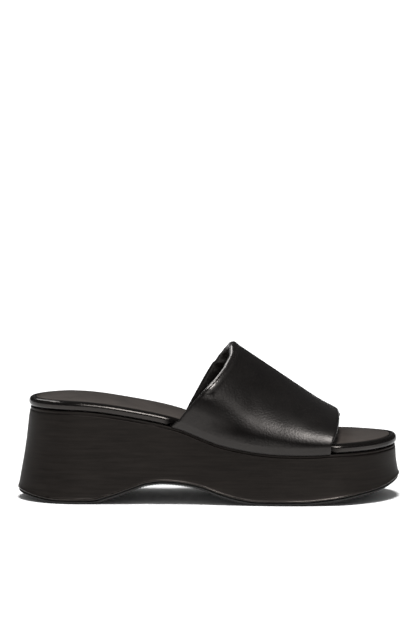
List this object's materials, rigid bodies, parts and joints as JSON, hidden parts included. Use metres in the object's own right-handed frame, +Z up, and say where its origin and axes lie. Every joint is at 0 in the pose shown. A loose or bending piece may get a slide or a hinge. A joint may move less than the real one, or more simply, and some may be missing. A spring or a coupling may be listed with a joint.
{
  "type": "sandal",
  "caption": "Women's black leather slide sandal with a wedge platform and a wide padded band over the foot",
  "frame": {"origin": "Under the middle of the whole shoe's box, on the floor that the sole stands on", "axes": "+X from heel to toe, +Y to the inner side of the foot, +Z up"},
  "size_m": [0.2624, 0.093, 0.1068],
  "materials": {
    "black_rubber": "matt black rubber with fine cross ribs",
    "wrapped_leather": "smooth black leather glued over the wedge, low sheen",
    "rolled_leather": "smooth black leather, satin, rolled over the footbed's edge",
    "sock_leather": "matt dark brown grey sock leather",
    "padded_leather": "soft black nappa leather over foam, satin"
  },
  "bodies": {
    "root": {"outsole": "black_rubber", "platform": "wrapped_leather", "footbed": "rolled_leather", "sock": "sock_leather", "upper": "padded_leather"}
  },
  "joints": []
}
